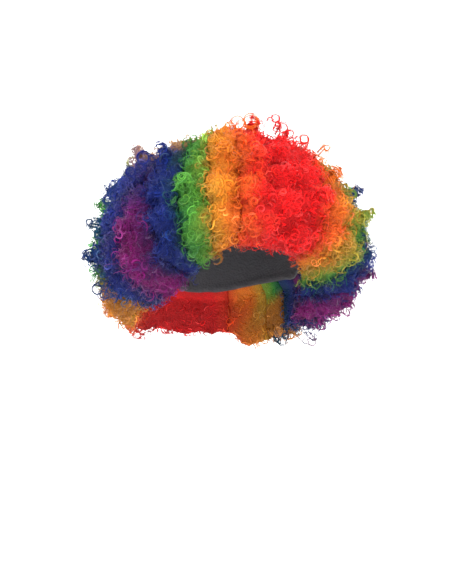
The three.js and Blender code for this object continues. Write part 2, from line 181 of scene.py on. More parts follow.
# The corkscrews of the CAD part: half their thickness, the sides round it, and the reach from one of its rings to
# the next. They are told by their small faces: the longest edge, the largest area, and how many lie how near.
SCREW_HALF = 2.75 * MM
SCREW_SIDES = 5
SCREW_REACH = 10 * MM
SCREW_EDGE, SCREW_AREA = 9.5 * MM, 22 * MM ** 2
SCREW_CROWD, SCREW_NEAR = 12, 8 * MM

# Here a corkscrew is a bundle: its strands, the points along one, the share of the thickness that they fill, how
# many rings its line runs on into the hair and how far for each, and how close the undercoat gives way below it
SCREW_STRANDS = 9
SCREW_POINTS = 22
SCREW_FILL = 0.85
SCREW_ROOT, SCREW_ROOT_STEP = 1.6, 4 * MM
SCREW_GAP = 5 * MM

# The camera: its angle on the wig in degrees, how far away it stands, its lens in mm, and how far right and up of
# the origin it aims
CAMERA_AZIMUTH, CAMERA_ELEVATION, CAMERA_ROLL = -24, 8, 14
CAMERA_AWAY = 2.0
LENS = 107.2
AIM_RIGHT, AIM_UP = -0.0265, -0.1334

# The stage: the floor's height, how far out it is flat, the radius of its rise, the wall's top, and how many sides
# it has all round and steps in its rise
FLOOR_Z = -0.36
FLOOR_FLAT = 2.4
RISE_RADIUS = 1
WALL_TOP = 5.0
STAGE_SIDES = 64
RISE_STEPS = 12

# Each curl of the outline is a small group: for each of its curls the strands, the share of the radius, and the
# radii that it lies beside and below the first
LOOP_GROUP = [(4, 1, 0, 0), (3, 0.72, 1.1, 0.7), (2, 0.6, -0.9, 0.9)]

# The lines of these curls: half their thickness, the share that is root, how long that is, how far the rest winds
# towards the camera, the shares of the radius that it narrows from and by, and how near in the picture a node's
# faces have to be to give its depth
LOOP_HALF = 1.5 * MM
LOOP_ROOT_SHARE = 0.2
LOOP_ROOT = 11 * MM
LOOP_WIND = 7 * MM
LOOP_WIDE, LOOP_NARROWS = 1.15, 0.45
LOOP_NEAR = 6 * MM

# Loose curls in the outline as it is seen in the photo: the hair they belong to, how far right and up of the
# wig's middle, their radius, all in mm, and how often they go round, to one side or the other
OUTLINE_CURLS = [
    ("hair_orange_rear_right", -112, 106, 7, 1.2),
    ("hair_blue_right", -100, 108, 7.5, -1.2),
    ("hair_blue_right", -115, 92, 6, 1.1),
    ("hair_blue_rear_right", -140, 62, 6.5, 1.3),
    ("hair_blue_rear_right", -154, 31, 7.5, -1.3),
    ("hair_blue_rear_right", -163, 36, 4, 1),
    ("hair_blue_rear_right", -162, -3, 7.5, 1.3),
    ("hair_blue_rear_right", -153, -43, 6.5, -1.1),
    ("hair_orange_rear_right", -136, -67, 5.5, 1.2),
    ("hair_red_rear", -107, -93, 5, -1),
    ("hair_red_rear", -75, -86, 5, 1.1),
    ("hair_orange_left", 9, 151, 8.5, 1.1),
    ("hair_orange_right", 24, 152, 8.5, -1.1),
    ("hair_red_front", 53, 155, 5, -1.2),
    ("hair_red_front", 62, 145, 5.5, 1.3),
    ("hair_red_front", 69, 137, 5, 1.2),
    ("hair_red_front", 86, 131, 5.5, -1.2),
    ("hair_orange_left", 112, 121, 4, 1),
    ("hair_green_left", 141, 67, 5, 1.2),
    ("hair_green_left", 152, 36, 7, -1.2),
    ("hair_green_left", 154, 22, 4.5, 1.1),
    ("hair_blue_left", 156, -1, 5, 1.2),
    ("hair_blue_left", 152, -20, 7, -1.2),
    ("hair_purple_left", 135, -47, 5.5, 1.1),
    ("hair_purple_left", 122, -68, 5.5, -1.2),
    ("hair_purple_left", 105, -84, 5, 1.1),
    ("hair_purple_left", 95, -103, 5, 1),
    ("hair_blue_rear_left", 61, -101, 5.5, -1.2),
]


def linear(code):
    """A screen colour as linear light."""
    share = np.array([int(code[i:i + 2], 16) / 255 for i in (0, 2, 4)])
    return np.where(share <= 0.04045, share / 12.92, ((share + 0.055) / 1.055) ** 2.4)


def unit(v):
    """Vectors of length 1."""
    return v / np.maximum(np.linalg.norm(v, axis=-1, keepdims=True), 1e-12)


def smooth(x):
    """From 0 to 1 with soft ends."""
    x = np.clip(x, 0, 1)
    return x * x * (3 - 2 * x)


def whorl_place(points):
    """Degrees round the whorl from the front, without regard to the side, and degrees below it."""
    d = unit(points - CENTRE)
    turned = np.degrees(np.arctan2(np.abs(d @ LEFT), d @ FRONT))
    below = np.degrees(np.arccos(np.clip(d @ AXIS, -1, 1)))
    return turned, below


def border(name, below, left):
    """Degrees round the whorl at which a colour ends, some degrees below the whorl."""
    turned = np.interp(below, BORDER_PLACES, BORDERS[name])
    on_top = np.where(left, 1 - smooth((below - SWEEP_WHOLE) / SWEEP_WHOLE), 0)
    return turned + LEFT_SWEEP * on_top * np.maximum(0, 1 - turned / BORDERS["blue"][0])


def without_side(node):
    """A node's name without its side of the wig."""
    return node.replace("_right", "").replace("_left", "")


def band_of(node):
    """The row of BANDS for a node."""
    return BANDS[without_side(node)]


def fibre_colour(node, points, shift):
    """The fibre's colour at some points of a node, moved by a share of the band's width, with painted shade
    towards the lower edge.
    """
    _, first, last, stops = band_of(node)
    turned, below = whorl_place(points)
    left = points[:, 0] > 0
    start = border(first, below, left) if first else np.zeros_like(below)
    end = border(last, below, left) if last else np.full_like(below, 180.0)
    share = (turned - start) / np.maximum(end - start, NARROWEST) + shift
    if first is None:
        share = np.where(below < DISC, DISC_SHADE, share)
    rights = colour_along(stops, share)
    lefts = colour_along(LEFT_BANDS.get(without_side(node), stops), share)
    colour = np.where(left[:, None], lefts, rights)
    if "green_rear" in node:
        gold = smooth((below - NAPE_FROM) / (NAPE_TO - NAPE_FROM))[:, None]
        colour = colour + gold * (linear(NAPE_GOLD) - colour)
    if "orange_rear" in node:
        ring = RING_SHARE * smooth((below - RING_FROM) / (RING_TO - RING_FROM))
        ring = np.where(turned < RING_BELOW[-1][0], ring, 0)[:, None]
        colour = colour + ring * (colour_along(RING_BELOW, turned) - colour)
    if "purple" in node:
        dark = DARK_SHARE * (1 - smooth((below - DARK_FROM) / (DARK_TO - DARK_FROM)))[:, None]
        colour = colour + dark * (linear(PURPLE_DARK) - colour)
    if first in ("green", "blue", "purple", "blue_rear"):
        pale_to = np.interp(turned, PALE_TURNS, PALE_TO)
        pale = PALE_SHARE * smooth((pale_to - below) / PALE_FADE)[:, None]
        colour = colour + pale * (linear(PALE) - colour)
    # painted shade: darker towards the lower edge
    return colour * (1 - LOW_PAINTED_SHADE * smooth((below - PAINTED_SHADE_FROM) / (PAINTED_SHADE_TO - PAINTED_SHADE_FROM)))[:, None]


def colour_along(stops, share):
    """The colours at some shares of the way along a row of stops."""
    places = [place for place, code in stops]
    colours = np.array([linear(code) for place, code in stops])
    return np.stack([np.interp(share, places, colours[:, i]) for i in range(3)], axis=-1)


def triangles_of(obj):
    """The corners of an object's triangles."""
    mesh = obj.data
    mesh.calc_loop_triangles()
    co = np.zeros(len(mesh.vertices) * 3)
    mesh.vertices.foreach_get("co", co)
    index = np.zeros(len(mesh.loop_triangles) * 3, np.int32)
    mesh.loop_triangles.foreach_get("vertices", index)
    return co.reshape(-1, 3)[index.reshape(-1, 3)]


def seat_share(points):
    """1 on the cap's outside, more outside it, at any height down to the hem and below it."""
    rise = np.maximum(points[:, 2] - CENTRE[2], 0) / CAP_HALF[2]
    return (points[:, 0] / CAP_HALF[0]) ** 2 + (points[:, 1] / CAP_HALF[1]) ** 2 + rise ** 2


def sides_of(tri):
    """Area, way out, middle and way from the wig's middle of each triangle."""
    cross = np.cross(tri[:, 1] - tri[:, 0], tri[:, 2] - tri[:, 0])
    middle = tri.mean(axis=1)
    return np.linalg.norm(cross, axis=1) / 2, unit(cross), middle, unit(middle - CENTRE)


def on_ringlets(tri):
    """Which triangles belong to the thin corkscrews that stand on the tufts: small ones, many in one place."""
    edges = np.linalg.norm(tri - np.roll(tri, 1, axis=1), axis=2)
    area, _, middle, _ = sides_of(tri)
    small = (edges.max(axis=1) < SCREW_EDGE) & (area < SCREW_AREA)
    near = np.array([(np.linalg.norm(middle[small] - m, axis=1) < SCREW_NEAR).sum() for m in middle])
    return small & (near > SCREW_CROWD)


def hair_places(tri, rng, spacing, inner):
    """Evenly spread places on a hair node's outer side and lower edge, or on the side that faces the neck, with
    the way out of the hair there."""
    area, normal, middle, away = sides_of(tri)
    facing = (normal * away).sum(axis=1)
    if inner:
        clear_of_cap = np.interp(middle[:, 2] / MM, CLEAR_HEIGHTS, CLEAR_SEATS)
        kept = (facing < -FACING) & (seat_share(middle) > clear_of_cap)
    else:
        low = (whorl_place(middle)[1] > EDGE_BELOW) & (seat_share(middle) > EDGE_SEAT)
        kept = (facing > FACING) | (low & (normal[:, 2] < -EDGE_FACING))
    weight = np.where(kept, area, 0)
    count = int(weight.sum() / spacing ** 2 * TRIES)
    if count < TRIES:
        return np.zeros((0, 3)), np.zeros((0, 3))
    pick = rng.choice(len(tri), size=count, p=weight / weight.sum())
    a, b = rng.random((2, count))
    flip = a + b > 1
    a, b = np.where(flip, 1 - a, a), np.where(flip, 1 - b, b)
    t = tri[pick]
    places = t[:, 0] + a[:, None] * (t[:, 1] - t[:, 0]) + b[:, None] * (t[:, 2] - t[:, 0])
    chosen = []
    for i in range(count):
        if not chosen or np.min(np.linalg.norm(places[chosen] - places[i], axis=1)) > spacing * CLOSEST:
            chosen.append(i)
    out = normal[pick] if inner else unit(away[pick] + 0.4 * normal[pick])
    return places[chosen], out[chosen]


def relief(places, around):
    """How far places stand out of the hair around them: above 0 on a tuft's top, below 0 between tufts."""
    if not len(places):
        return np.zeros(0)
    reach = np.linalg.norm(around - CENTRE, axis=1)
    own = np.linalg.norm(places - CENTRE, axis=1)
    result = np.zeros(len(places))
    for i, place in enumerate(places):
        near = np.linalg.norm(around - place, axis=1) < RELIEF_AROUND
        result[i] = own[i] - reach[near].mean() if near.any() else 0
    return result


def painted_light(places, around, light):
    """How bright places are painted, as painted shade and light: the first of light deep between tufts, the
    second more on their tops.
    """
    return light[0] + light[1] * smooth((relief(places, around) + VALLEY) / TOP_OVER_VALLEY)


def root_painted_shade(points, share):
    """Painted shade along a strand: how much of its colour it has, less at its root, all after a share of its
    length.
    """
    return ROOT_PAINTED_SHADE + (1 - ROOT_PAINTED_SHADE) * smooth(np.linspace(0, 1, points) / share)


def coil_paths(rng, places, out, strands, points, radius, turns, pitch, spread, depth, lying_share):
    """Strands of ringlets: their lines, the direction across each strand, and which ringlet each belongs to.
    depth is how far under the surface a lying ringlet has its middle, and a standing one its root."""
    count = len(places)
    lying = rng.random(count) < lying_share
    sideways = unit(np.cross(out, rng.normal(size=(count, 3))))
    stand = unit(out + 0.55 * sideways)
    lie = unit(sideways + 0.35 * out + np.array([0, 0, -0.35]))
    axis = np.where(lying[:, None], lie, stand)
    across = unit(np.cross(axis, out + 0.3 * rng.normal(size=(count, 3))))
    third = np.cross(axis, across)
    r = rng.uniform(*radius, count)
    n = rng.uniform(*turns, count)
    p = rng.uniform(*pitch, count)
    hand = np.where(rng.random(count) < 0.5, 1.0, -1.0)
    phase = rng.uniform(0, 2 * math.pi, count)
    sunk = np.where(lying, *depth)
    start = places - out * sunk[:, None] - axis * np.where(lying, n * p * 0.5, 0)[:, None]

    t = np.linspace(0, 1, points)
    k = np.arange(strands) - (strands - 1) / 2
    ribbon = k[None, :, None] * spread + rng.normal(0, spread * 0.35, (count, strands, 1))
    turn_by = phase[:, None, None] + hand[:, None, None] * 2 * math.pi * n[:, None, None] * t
    turn_by = turn_by + rng.normal(0, 0.16, (count, strands, 1))
    wobble = WAVER * np.sin(2 * math.pi * (2.3 * t + rng.random((count, strands, 1))))
    grown = 0.45 + 0.55 * smooth(t / 0.3)
    rho = r[:, None, None] * grown * (1 - 0.22 * t) + rng.normal(0, spread * 0.5, (count, strands, 1)) + wobble
    fan = smooth(t / 0.2) * (1 - 0.35 * smooth((t - 0.7) / 0.3))
    along = (n * p)[:, None, None] * t + ribbon * fan
    droop = DROOP * t * t
    spoke = (np.cos(turn_by)[..., None] * across[:, None, None, :]
             + np.sin(turn_by)[..., None] * third[:, None, None, :])
    lines = (start[:, None, None, :] + axis[:, None, None, :] * along[..., None] + spoke * rho[..., None]
             + np.array([0, 0, -1.0]) * droop[None, None, :, None])
    flat = lines.reshape(-1, points, 3)
    return flat, spoke.reshape(-1, points, 3), np.repeat(np.arange(count), strands)


def tube_mesh(name, lines, spokes, half, colours):
    """One mesh of closed three-sided tubes along lines, with a colour for each point of each line."""
    count, points = lines.shape[:2]
    tangent = unit(np.gradient(lines, axis=1))
    n1 = unit(spokes - (spokes * tangent).sum(axis=-1, keepdims=True) * tangent)
    n2 = np.cross(tangent, n1)
    turn = np.array([0, 1, 2]) * 2 * math.pi / 3
    ring = (np.cos(turn)[None, None, :, None] * n1[:, :, None, :]
            + np.sin(turn)[None, None, :, None] * n2[:, :, None, :])
    co = lines[:, :, None, :] + ring * half[..., None, None]
    root = np.arange(count) * points * 3
    base = root[:, None, None]
    step = (np.arange(points - 1) * 3)[None, :, None]
    side = np.arange(3)[None, None, :]
    after = (side + 1) % 3
    low, high = base + step, base + step + 3
    quads = np.stack([low + side, low + after, high + after, high + side], -1)
    quads = quads.reshape(-1, 4)
    end = root + (points - 1) * 3
    caps = np.concatenate([np.stack([root + 2, root + 1, root], -1), np.stack([end, end + 1, end + 2], -1)])

    mesh = bpy.data.meshes.new(name)
    mesh.vertices.add(count * points * 3)
    mesh.vertices.foreach_set("co", co.reshape(-1).astype(np.float32))
    loops = np.concatenate([quads.reshape(-1), caps.reshape(-1)]).astype(np.int32)
    mesh.loops.add(len(loops))
    mesh.loops.foreach_set("vertex_index", loops)
    starts = np.concatenate([np.arange(len(quads)) * 4, len(quads) * 4 + np.arange(len(caps)) * 3])
    mesh.polygons.add(len(starts))
    mesh.polygons.foreach_set("loop_start", starts.astype(np.int32))
    mesh.polygons.foreach_set("use_smooth", np.ones(len(starts), bool))

    layer = mesh.uv_layers.new(name="OFBake")
    layer.data.foreach_set("uv", tube_uv(count, points).reshape(-1).astype(np.float32))

    tint_points(mesh, np.repeat(colours.reshape(-1, 3), 3, axis=0))
    mesh.update(calc_edges=True)
    mesh.validate()
    obj = bpy.data.objects.new(name, mesh)
    bpy.context.scene.collection.objects.link(obj)
    return obj


def tint_points(mesh, colours):
    """Gives each point of a mesh the colour that the hair's materials read."""
    tint = mesh.attributes.new("tint", "FLOAT_COLOR", "POINT")
    rgba = np.ones((len(colours), 4))
    rgba[:, :3] = colours
    tint.data.foreach_set("color", rgba.reshape(-1).astype(np.float32))


def tube_uv(count, points):
    """Texture places of the tubes: a thin row of the texture for each strand, its length from left to right."""
    side = np.arange(3)[None, None, :]
    u = np.linspace(0.002, 0.998, points)
    row = np.arange(count)[:, None, None]
    low = (row + 0.1 + 0.8 * side / 3) / count
    high = (row + 0.1 + 0.8 * (side + 1) / 3) / count
    low, high = [np.broadcast_to(x, (count, points - 1, 3)) for x in (low, high)]
    near = np.broadcast_to(u[None, :-1, None], low.shape)
    far = np.broadcast_to(u[None, 1:, None], low.shape)
    quad_uv = np.stack([np.stack([near, low], -1), np.stack([near, high], -1),
                        np.stack([far, high], -1), np.stack([far, low], -1)], -2)
    middle = (np.arange(count) + 0.5) / count
    cap_uv = np.concatenate([np.stack([np.full((count, 3), 0.001), middle[:, None].repeat(3, 1)], -1),
                             np.stack([np.full((count, 3), 0.999), middle[:, None].repeat(3, 1)], -1)])
    return np.concatenate([quad_uv.reshape(-1, 2), cap_uv.reshape(-1, 2)])


def screw_lines(tri):
    """The middle lines of the corkscrews that stand on a node: each from the rings of points round it."""
    keys, index = np.unique(np.round(tri.reshape(-1, 3) / 1e-5).astype(int), axis=0, return_inverse=True)
    points = keys * 1e-5
    faces = index.reshape(-1, 3)
    pairs = np.concatenate([faces[:, [0, 1]], faces[:, [1, 2]], faces[:, [2, 0]]])
    edges = np.unique(np.sort(pairs, axis=1), axis=0)
    side = 2 * SCREW_HALF * math.sin(math.pi / SCREW_SIDES)
    length = np.linalg.norm(points[edges[:, 0]] - points[edges[:, 1]], axis=1)
    ring_of = np.arange(len(points))
    for a, b in edges[abs(length - side) < 0.02 * side]:
        ring_of[ring_of == ring_of[b]] = ring_of[a]
    names, counts = np.unique(ring_of, return_counts=True)
    middles = np.array([points[ring_of == name].mean(axis=0) for name in names[counts == SCREW_SIDES]])
    lines = []
    left = list(range(len(middles)))
    while left:
        screw = [left.pop(0)]
        for at in screw:
            near = [k for k in left if np.linalg.norm(middles[k] - middles[at]) < SCREW_REACH]
            screw.extend(near)
            left = [k for k in left if k not in near]
        if len(screw) >= 4:
            lines.append(screw_line(middles[screw]))
    return lines


def screw_line(middles):
    """One corkscrew's line through the middles of its rings, run on into the hair below."""
    axis = unit(middles.mean(axis=0) - CENTRE)
    across = unit(np.cross(axis, [0.3, 0.9, 0.1]))
    third = np.cross(axis, across)
    flat = np.stack([middles @ across, middles @ third], axis=-1)
    fit = np.linalg.lstsq(np.column_stack([2 * flat, np.ones(len(flat))]), (flat ** 2).sum(axis=1), rcond=None)[0]
    height = middles @ axis
    order = np.argsort(height)
    spoke = flat[order] - fit[:2]
    angle = np.unwrap(np.arctan2(spoke[:, 1], spoke[:, 0]))
    radius = np.linalg.norm(spoke, axis=1)
    at = np.arange(len(order))
    t = np.linspace(-SCREW_ROOT, len(order) - 1, SCREW_POINTS)
    turned = np.interp(t, at, angle) + np.minimum(t, 0) * (angle[1] - angle[0])
    high = np.interp(t, at, height[order]) + np.minimum(t, 0) * SCREW_ROOT_STEP
    wide = np.interp(t, at, radius) * (1 - 0.4 * smooth(t / (len(order) - 1)))
    return (across * (fit[0] + wide * np.cos(turned))[:, None] + third * (fit[1] + wide * np.sin(turned))[:, None]
            + axis * high[:, None])


def bundle(line, rng, strands, thick):
    """Strands side by side along a line, within some distance of it, and the way across each."""
    tangent = unit(np.gradient(line, axis=0))
    across = unit(np.cross(tangent, unit(line.mean(axis=0) - CENTRE)))
    third = np.cross(tangent, across)
    t = np.linspace(0, 1, len(line))
    lines, spokes = [], []
    for k in range(strands):
        off = thick * math.sqrt((k + 0.5) / strands)
        angle = 2.4 * k + rng.uniform(-0.3, 0.3) + rng.uniform(-1.6, 1.6) * t
        open_out = 1 + 1.6 * rng.uniform(-0.4, 1) * t
        spoke = across * np.cos(angle)[:, None] + third * np.sin(angle)[:, None]
        lines.append(line + spoke * (off * open_out)[:, None])
        spokes.append(spoke)
    return np.array(lines), np.array(spokes)


def strand_colours(node, owner, roots, around, rng, points):
    """Each ringlet's own shade of its band, with painted shade between the tufts and painted light on their tops,
    each strand a little off it, and painted shade at its root."""
    count = len(roots)
    clump = waves(roots, CLUMPS, 3) - 0.5
    own = fibre_colour(node, roots, rng.normal(0, 0.13, count) + CLUMP_SHIFT * clump)
    # painted shade between the tufts, painted light on their tops
    light = painted_light(roots, around, STRAND_PAINTED_LIGHT)
    own = own * (light * (1 + 0.3 * clump) * rng.lognormal(0, 0.2, count))[:, None]
    pale = rng.random(count) < 0.1
    own = np.where(pale[:, None], own * 1.3 + 0.03, own)
    strand = own[owner] * rng.lognormal(0, 0.14, (len(owner), 1))
    # painted shade towards each strand's root
    return np.clip(strand[:, None, :] * root_painted_shade(points, 0.3)[None, :, None], 0, 1)


def add_strands(node, kind, slot, rng, points, thick, sorts):
    """One piece of strands on a node. Each sort is its places and ways out, the places around it, strands in a
    ringlet, and the ranges of radius, turns, pitch, depth and share that lie flat, as coil_paths takes them."""
    lines, spokes, colours = [], [], []
    for (places, out), around, strands, radius, turns, pitch, depth, lying in sorts:
        if not len(places):
            continue
        line, spoke, owner = coil_paths(rng, places, out, strands, points, radius, turns, pitch,
                                        STRANDS_APART * thick, depth, lying)
        lines.append(line)
        spokes.append(spoke)
        colours.append(strand_colours(node, owner, places, around, rng, points))
    lines, spokes, colours = [np.concatenate(part) for part in (lines, spokes, colours)]
    t = np.linspace(0, 1, points)
    half = thick * (0.6 + 0.4 * smooth(t / 0.15)) * (1 - 0.5 * smooth((t - 0.8) / 0.2))
    half = half[None, :] * rng.uniform(0.75, 1.3, (len(lines), 1))
    piece = tube_mesh(node.replace("hair", kind), lines, spokes, half, colours)
    piece.data.materials.append(fibre[slot])
    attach(piece, "root")


def fibre_material(name, roughness):
    """Hair in the colours of its points."""
    material = bpy.data.materials.new(name)
    material.use_nodes = True
    tree = material.node_tree
    shader = tree.nodes["Principled BSDF"]
    shader.inputs["Roughness"].default_value = roughness
    shader.inputs["Specular IOR Level"].default_value = 0.18
    tint = tree.nodes.new("ShaderNodeAttribute")
    tint.attribute_name = "tint"
    tree.links.new(tint.outputs["Color"], shader.inputs["Base Color"])
    return material


def undercoat_material(name):
    """Packed small curls, drawn as rings in the bump and as painted highlights and shade in the colour."""
    material = fibre_material(name, 0.75)
    tree = material.node_tree
    shader = tree.nodes["Principled BSDF"]
    shader.inputs["Specular IOR Level"].default_value = 0.15
    place = tree.nodes.new("ShaderNodeTexCoord")
    bend = tree.nodes.new("ShaderNodeTexNoise")
    bend.inputs["Scale"].default_value = 160
    bend.inputs["Detail"].default_value = 2
    mixed = tree.nodes.new("ShaderNodeMix")
    mixed.data_type = "VECTOR"
    mixed.inputs["Factor"].default_value = 0.006
    cells = tree.nodes.new("ShaderNodeTexVoronoi")
    cells.inputs["Scale"].default_value = 150
    # painted highlights and shade of the small curls: light rings and dark gaps multiplied into the colour
    rings = tree.nodes.new("ShaderNodeValToRGB")
    ramp = rings.color_ramp
    ramp.elements[0].color = (0.35, 0.35, 0.35, 1)
    ramp.elements[1].color = (0.45, 0.45, 0.45, 1)
    for position, level in ((0.16, 1.0), (0.3, 0.4), (0.44, 1.0), (0.58, 0.4), (0.72, 0.95), (0.86, 0.4)):
        ramp.elements.new(position).color = (level, level, level, 1)
    tint_with_painted_rings = tree.nodes.new("ShaderNodeMix")
    tint_with_painted_rings.data_type = "RGBA"
    tint_with_painted_rings.blend_type = "MULTIPLY"
    tint_with_painted_rings.inputs["Factor"].default_value = 0.75
    bump = tree.nodes.new("ShaderNodeBump")
    bump.inputs["Strength"].default_value = 0.7
    bump.inputs["Distance"].default_value = 0.0012
    tint = tree.nodes["Attribute"]
    tree.links.new(place.outputs["Object"], bend.inputs["Vector"])
    tree.links.new(place.outputs["Object"], mixed.inputs["A"])
    tree.links.new(bend.outputs["Color"], mixed.inputs["B"])
    tree.links.new(mixed.outputs["Result"], cells.inputs["Vector"])
    tree.links.new(cells.outputs["Distance"], rings.inputs["Fac"])
    tree.links.new(tint.outputs["Color"], tint_with_painted_rings.inputs["A"])
    tree.links.new(rings.outputs["Color"], tint_with_painted_rings.inputs["B"])
    tree.links.new(tint_with_painted_rings.outputs["Result"], shader.inputs["Base Color"])
    tree.links.new(rings.outputs["Color"], bump.inputs["Height"])
    tree.links.new(bump.outputs["Normal"], shader.inputs["Normal"])
    return material


def waves(co, length, seed):
    """Rounded lumps of about a given length, from 0 to 1."""
    rng = np.random.default_rng(seed)
    total = np.zeros(len(co))
    for _ in range(7):
        way = unit(rng.normal(size=3)) * 2 * math.pi / length * rng.uniform(0.7, 1.4)
        total += np.sin(co @ way + rng.uniform(0, 2 * math.pi))
    return np.clip(0.5 + total / 7, 0, 1)


def bare_copy(obj, name):
    """A copy of a node's form, without its material."""
    copy = obj.copy()
    copy.data = obj.data.copy()
    copy.parent = None
    copy.name = name
    for key in [k for k in copy.keys() if k.startswith("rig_")]:
        del copy[key]
    bpy.context.scene.collection.objects.link(copy)
    copy.data.materials.clear()
    return copy


def with_modifiers(obj):
    """The object's mesh with its modifiers worked into it, smooth and without a material."""
    graph = bpy.context.evaluated_depsgraph_get()
    mesh = bpy.data.meshes.new_from_object(obj.evaluated_get(graph))
    obj.modifiers.clear()
    obj.data = mesh
    mesh.polygons.foreach_set("use_smooth", np.ones(len(mesh.polygons), bool))
    mesh.materials.clear()
    return mesh


def make_undercoat(node, obj, tri, material):
    """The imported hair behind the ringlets: the node's own form, rounded off, lumpy and a little sunken, without
    the corkscrews that stand on it, which are strands of their own."""
    coat = bare_copy(obj, node.replace("hair_", "undercoat_"))
    remesh = coat.modifiers.new("even", "REMESH")
    remesh.mode = "VOXEL"
    remesh.voxel_size = COAT_GRID
    rounded = coat.modifiers.new("rounded", "SMOOTH")
    rounded.factor = 0.5
    rounded.iterations = 2
    mesh = with_modifiers(coat)
    co = np.zeros(len(mesh.vertices) * 3)
    mesh.vertices.foreach_get("co", co)
    co = co.reshape(-1, 3)
    normal = np.array([v.normal for v in mesh.vertices])
    away = unit(co - CENTRE)
    outer = smooth(((normal * away).sum(axis=1) + 0.25) / 0.5) * smooth((seat_share(co) - 1.05) / 0.6)
    standing = on_ringlets(tri)
    bodies, screws = sides_of(tri[~standing]), sides_of(tri[standing])[2]
    outward = (bodies[1] * bodies[3]).sum(axis=1) > 0.3
    outer_middles, outer_ways = bodies[2][outward], bodies[3][outward]
    reach = np.linalg.norm(co - CENTRE, axis=1)
    for i in range(len(co)):
        if len(screws) and np.linalg.norm(screws - co[i], axis=1).min() < SCREW_GAP:
            level = outer_middles[np.argmax(outer_ways @ away[i])]
            reach[i] = min(reach[i], np.linalg.norm(level - CENTRE))
    lumps = SUNKEN * (0.6 + 0.9 * waves(co, COAT_LUMPS, 5))
    sunk = CENTRE + away * (reach - lumps * outer)[:, None] + normal * (GROWN * (1 - outer))[:, None]
    # painted shade: the undercoat darker in the valleys and darker than the strands, lighter on the tops
    shade = painted_light(co, bodies[2], COAT_PAINTED_LIGHT)[:, None]
    mesh.vertices.foreach_set("co", sunk.reshape(-1).astype(np.float32))
    tint_points(mesh, fibre_colour(node, co, CLUMP_SHIFT * (waves(co, CLUMPS, 3) - 0.5)) * shade)
    mesh.materials.append(material)
    mesh.update()
    return coat


def cap_material():
    """Dark knitted net: fine knots in the bump."""
    material = bpy.data.materials.new("cap_net")
    material.use_nodes = True
    tree = material.node_tree
    shader = tree.nodes["Principled BSDF"]
    shader.inputs["Base Color"].default_value = (*linear("2b2a2e"), 1)
    shader.inputs["Roughness"].default_value = 0.85
    place = tree.nodes.new("ShaderNodeTexCoord")
    knit = tree.nodes.new("ShaderNodeTexVoronoi")
    knit.inputs["Scale"].default_value = 420
    bump = tree.nodes.new("ShaderNodeBump")
    bump.inputs["Strength"].default_value = 0.7
    bump.inputs["Distance"].default_value = 0.0008
    tree.links.new(place.outputs["Object"], knit.inputs["Vector"])
    tree.links.new(knit.outputs["Distance"], bump.inputs["Height"])
    tree.links.new(bump.outputs["Normal"], shader.inputs["Normal"])
    return material


def make_cap(obj):
    """The cap's cloth: the node's form without its facets."""
    cloth = bare_copy(obj, "cap_cloth")
    weld = cloth.modifiers.new("weld", "WELD")
    weld.merge_threshold = 0.00001
    rounded = cloth.modifiers.new("rounded", "SUBSURF")
    rounded.levels = 1
    rounded.render_levels = 1
    with_modifiers(cloth).materials.append(cap_material())
    return cloth


def plain_material(name, colour, glow):
    """Matt, with a glow of its own."""
    material = bpy.data.materials.new(name)
    material.use_nodes = True
    shader = material.node_tree.nodes["Principled BSDF"]
    shader.inputs["Base Color"].default_value = (*colour, 1)
    shader.inputs["Roughness"].default_value = 1
    shader.inputs["Specular IOR Level"].default_value = 0
    shader.inputs["Emission Color"].default_value = (1, 1, 1, 1)
    shader.inputs["Emission Strength"].default_value = glow
    return material


def make_stage():
    """A pale floor that rises all round into a wall, without an edge."""
    profile = [(0.001, FLOOR_Z), (FLOOR_FLAT / 2, FLOOR_Z), (FLOOR_FLAT, FLOOR_Z)]
    for step in range(1, RISE_STEPS + 1):
        a = math.radians(90 * step / RISE_STEPS)
        profile.append((FLOOR_FLAT + RISE_RADIUS * math.sin(a), FLOOR_Z + RISE_RADIUS * (1 - math.cos(a))))
    profile.append((FLOOR_FLAT + RISE_RADIUS, WALL_TOP))
    points = []
    for radius, height in profile:
        for step in range(STAGE_SIDES):
            a = 2 * math.pi * step / STAGE_SIDES
            points.append((radius * math.cos(a), radius * math.sin(a), height))
    faces = []
    for low in range(0, (len(profile) - 1) * STAGE_SIDES, STAGE_SIDES):
        high = low + STAGE_SIDES
        for step in range(STAGE_SIDES):
            after = (step + 1) % STAGE_SIDES
            faces.append((low + step, low + after, high + after, high + step))
    mesh = bpy.data.meshes.new("floor")
    mesh.from_pydata(points, [], faces)
    mesh.polygons.foreach_set("use_smooth", [True] * len(faces))
    mesh.materials.append(plain_material("pale", (0.9, 0.9, 0.9), 0.75))
    floor = bpy.data.objects.new("floor", mesh)
    bpy.context.scene.collection.objects.link(floor)


def camera_frame():
    """Picture right, picture up and the way back to the camera, at the photo's angle."""
    a, e, roll = [math.radians(angle) for angle in (CAMERA_AZIMUTH, CAMERA_ELEVATION, CAMERA_ROLL)]
    back = Vector((math.sin(a) * math.cos(e), -math.cos(a) * math.cos(e), math.sin(e)))
    right = Vector((0, 0, 1)).cross(back).normalized()
    up = back.cross(right)
    return (right * math.cos(roll) + up * math.sin(roll), up * math.cos(roll) - right * math.sin(roll), back)


def make_camera():
    """The camera at the photo's angle, aimed beside and below the wig as in the photo."""
    right, up, back = camera_frame()
    data = bpy.data.cameras.new("camera")
    data.lens = LENS
    data.sensor_width = 36
    data.clip_start, data.clip_end = 0.1, 20
    camera = bpy.data.objects.new("camera", data)
    bpy.context.scene.collection.objects.link(camera)
    aim = right * AIM_RIGHT + up * AIM_UP
    turned = Matrix((right, up, back)).transposed().to_4x4()
    camera.matrix_world = Matrix.Translation(aim + back * CAMERA_AWAY) @ turned
    bpy.context.scene.camera = camera


